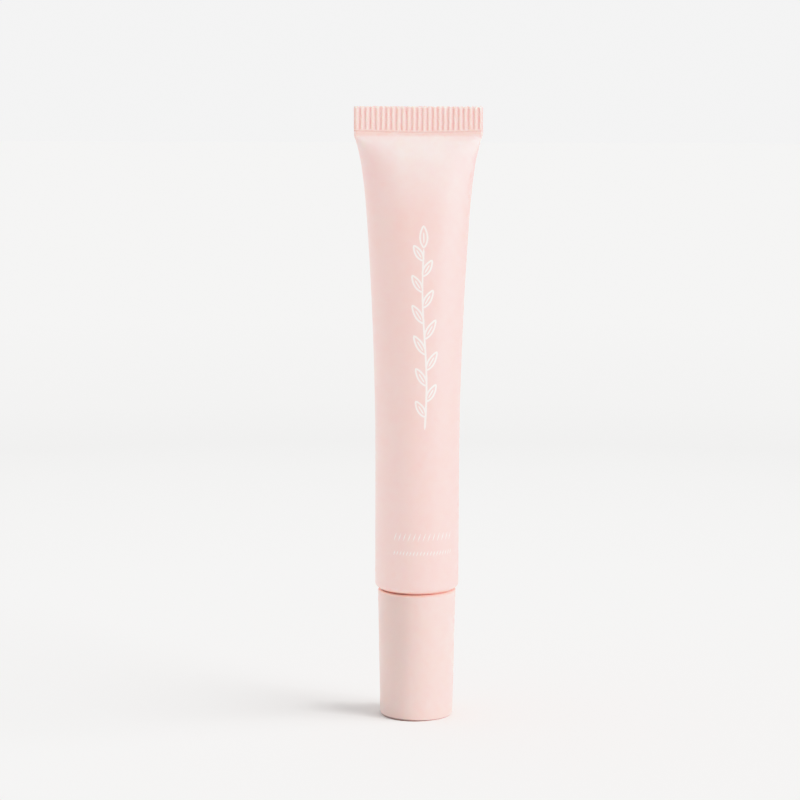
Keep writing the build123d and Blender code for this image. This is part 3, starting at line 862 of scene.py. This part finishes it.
# the paper's shade by distance from the tube, in metres: a painted shade in a broad ring, lighter again
# beyond it
PAPER_PAINTED_SHADE = ((0.0, 0.94), (0.15, 0.94), (0.22, 0.90), (0.38, 0.79), (0.5, 0.84), (0.9, 0.93))


def make_camera():
    data = bpy.data.cameras.new("camera")
    data.lens = LENS_MM
    data.sensor_width = SENSOR_MM
    data.clip_start, data.clip_end = CLIP_NEAR, CLIP_FAR
    camera = bpy.data.objects.new("camera", data)
    bpy.context.scene.collection.objects.link(camera)
    camera.location = (
        CAMERA_DISTANCE * math.sin(CAMERA_AZIMUTH),
        -CAMERA_DISTANCE * math.cos(CAMERA_AZIMUTH),
        CAMERA_HEIGHT,
    )
    camera.rotation_mode = "XYZ"
    camera.rotation_euler = (math.pi / 2 - CAMERA_PITCH, CAMERA_ROLL, CAMERA_AZIMUTH + CAMERA_YAW)
    bpy.context.scene.camera = camera


def studio_paper():
    """Matt white paper, with a painted shade: a little greyer in a broad ring some way from the tube."""
    nodes = Nodes("studio_paper")
    distance = nodes.add("ShaderNodeVectorMath")
    distance.operation = "LENGTH"
    nodes.link(nodes.add("ShaderNodeNewGeometry").outputs["Position"], distance.inputs[0])
    stops = [(metres, [shade * warmth for warmth in PAPER_WARMTH]) for metres, shade in PAPER_PAINTED_SHADE]
    nodes.link(nodes.stops(distance.outputs["Value"], stops), nodes.shader.inputs["Base Color"])
    nodes.link(nodes.bump(nodes.noise(900, detail=3), 0.02 * MM, 0.3), nodes.shader.inputs["Normal"])
    nodes.set("Roughness", 0.85)
    nodes.set("Specular IOR Level", 0.15)
    return nodes.material


def make_floor():
    """A pale disc that reaches the horizon."""
    points, faces, rows = [(0, 0, 0)], [], []
    for radius in FLOOR_RINGS:
        rows.append(list(range(len(points), len(points) + FLOOR_STEPS)))
        angles = [2 * math.pi * i / FLOOR_STEPS for i in range(FLOOR_STEPS)]
        points.extend((radius * math.cos(a), radius * math.sin(a), 0) for a in angles)
    faces.extend((0, rows[0][i], rows[0][(i + 1) % FLOOR_STEPS]) for i in range(FLOOR_STEPS))
    for inner, outer in zip(rows, rows[1:]):
        bridge(faces, outer, inner)
    mesh = bpy.data.meshes.new("studio_floor")
    mesh.from_pydata(points, [], faces)
    mesh.materials.append(studio_paper())
    floor = bpy.data.objects.new("studio_floor", mesh)
    bpy.context.scene.collection.objects.link(floor)


def studio_direction(azimuth, elevation):
    """Unit vector from the tube. Azimuth 0 is the camera's side and 90 its right, in degrees."""
    a = CAMERA_AZIMUTH + math.radians(azimuth)
    e = math.radians(elevation)
    return Vector((math.sin(a) * math.cos(e), -math.cos(a) * math.cos(e), math.sin(e)))


def make_panel(name, towards, strength):
    """One very soft lamp."""
    data = bpy.data.lights.new(name, "SUN")
    data.angle = math.radians(PANEL_SPREAD)
    data.energy = strength
    light = bpy.data.objects.new(name, data)
    bpy.context.scene.collection.objects.link(light)
    light.rotation_mode = "QUATERNION"
    light.rotation_quaternion = studio_direction(*towards).to_track_quat("Z", "Y")


def make_world():
    """Dim surroundings with two broad glows, in front of one even backdrop."""
    world = bpy.data.worlds.new("studio")
    world.use_nodes = True
    tree = world.node_tree
    background = tree.nodes["Background"]
    background.inputs["Color"].default_value = (1.0, 1.0, 1.0, 1)
    coordinates = tree.nodes.new("ShaderNodeTexCoord")

    total = LOWEST_GLOW
    for towards, strength in SIDE_GLOW:
        dot = tree.nodes.new("ShaderNodeVectorMath")
        dot.operation = "DOT_PRODUCT"
        dot.inputs[1].default_value = studio_direction(*towards)
        tree.links.new(coordinates.outputs["Generated"], dot.inputs[0])
        facing = add_maths(tree, "MAXIMUM", dot.outputs["Value"], 0.0)
        glow = add_maths(tree, "MULTIPLY", add_maths(tree, "POWER", facing, 2.0), strength)
        total = add_maths(tree, "ADD", glow, total)
    backdrop = tree.nodes.new("ShaderNodeMix")
    backdrop.inputs["B"].default_value = BACKDROP_LEVEL
    tree.links.new(total, backdrop.inputs["A"])
    tree.links.new(tree.nodes.new("ShaderNodeLightPath").outputs["Is Camera Ray"], backdrop.inputs["Factor"])
    tree.links.new(backdrop.outputs["Result"], background.inputs["Strength"])
    bpy.context.scene.world = world


def make_studio():
    make_camera()
    make_floor()
    make_world()
    make_panel("key", *KEY)
    make_panel("top", *TOP)
    bpy.context.scene.view_settings.view_transform = "Khronos PBR Neutral"


def main():
    make_sleeve(sleeve_plastic())
    make_cap(cap_plastic())
    make_print(white_ink())
    dress("tube_head", natural_plastic("head_polyethylene", (0.90, 0.70, 0.66)))
    dress("cap_core", natural_plastic("core_polypropylene", (0.80, 0.76, 0.74)))
    dress("nozzle_insert", natural_plastic("nozzle_polyethylene", (0.82, 0.79, 0.77)))
    dress("applicator_tip", soft_elastomer())
    dress("cap_seal_ring", foam_liner())
    dress("gloss_fill", pink_gel())
    make_studio()


main()
